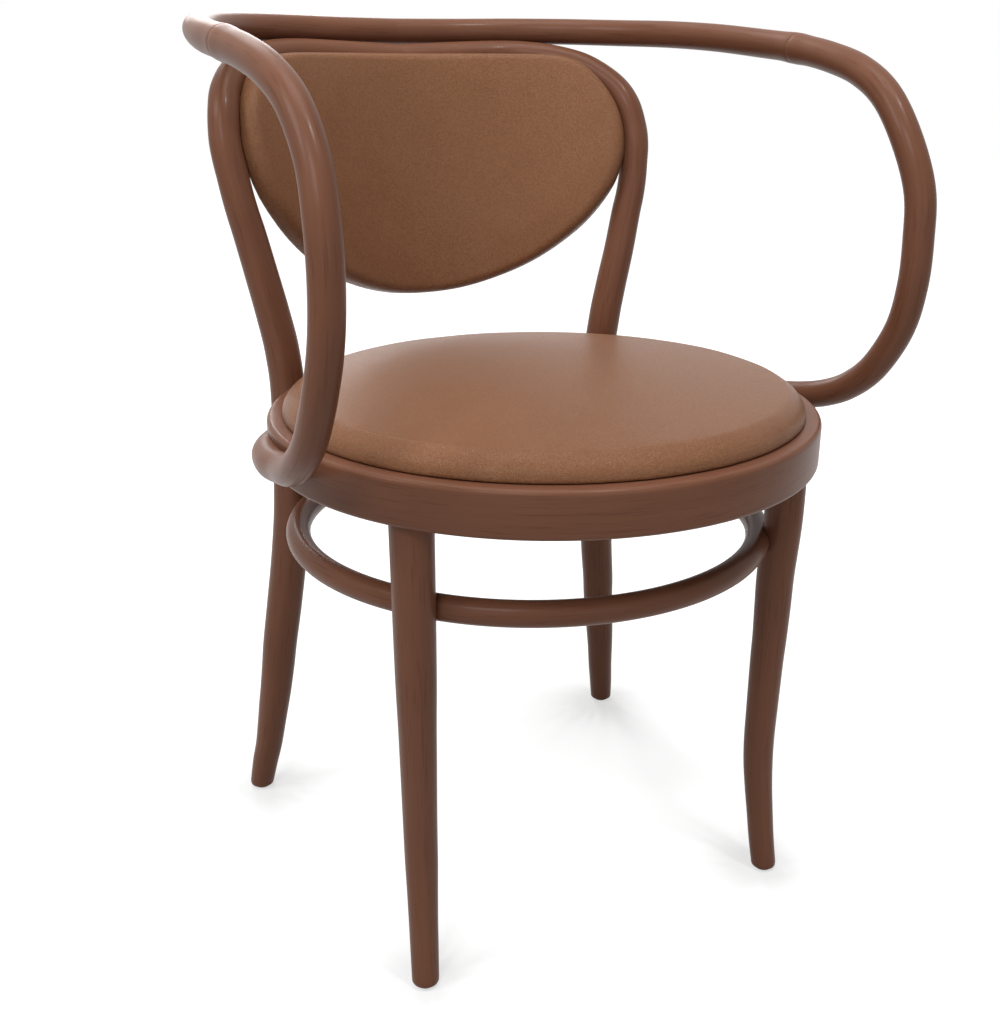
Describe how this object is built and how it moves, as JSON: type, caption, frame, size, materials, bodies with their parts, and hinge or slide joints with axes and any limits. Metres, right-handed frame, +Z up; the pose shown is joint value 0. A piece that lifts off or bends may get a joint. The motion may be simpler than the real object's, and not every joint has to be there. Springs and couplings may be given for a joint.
{
  "type": "bentwood armchair",
  "caption": "Bentwood armchair with a round leather seat, a D-shaped leather back pad, a hooped arm rail and a ring stretcher.",
  "frame": {"origin": "on the floor, under the middle of the chair's width and depth", "axes": "+Z up, -Y the way the sitter faces, +X to the sitter's left"},
  "size_m": [0.5206, 0.553, 0.7536],
  "materials": {
    "wood": "steam-bent beech, reddish brown stain, satin lacquer",
    "plywood": "bare beech plywood and dowel",
    "foam": "upholstery foam, sealed inside the leather",
    "leather": "warm brown fine-grain leather, satin",
    "zinc_steel": "bright zinc plated",
    "brass": "machined, dull",
    "glide": "dark brown moulded glide"
  },
  "bodies": {
    "root": {"seat_ring": "wood", "seat_board": "plywood", "seat_foam": "foam", "seat_cover": "leather", "seat_board_screws": "zinc_steel", "front_leg_left": "wood", "front_leg_right": "wood", "back_hoop": "wood", "rear_leg_bolts": "zinc_steel", "rear_leg_washers": "zinc_steel", "rear_leg_inserts": "brass", "top_rail": "wood", "arm_left": "wood", "arm_right": "wood", "splice_dowels": "plywood", "arm_ring_screws": "zinc_steel", "rail_hoop_screws": "zinc_steel", "stretcher_ring": "wood", "stretcher_screws": "zinc_steel", "back_board": "plywood", "back_foam": "foam", "back_cover": "leather", "back_pad_screws": "zinc_steel", "foot_glides": "glide"}
  },
  "joints": []
}
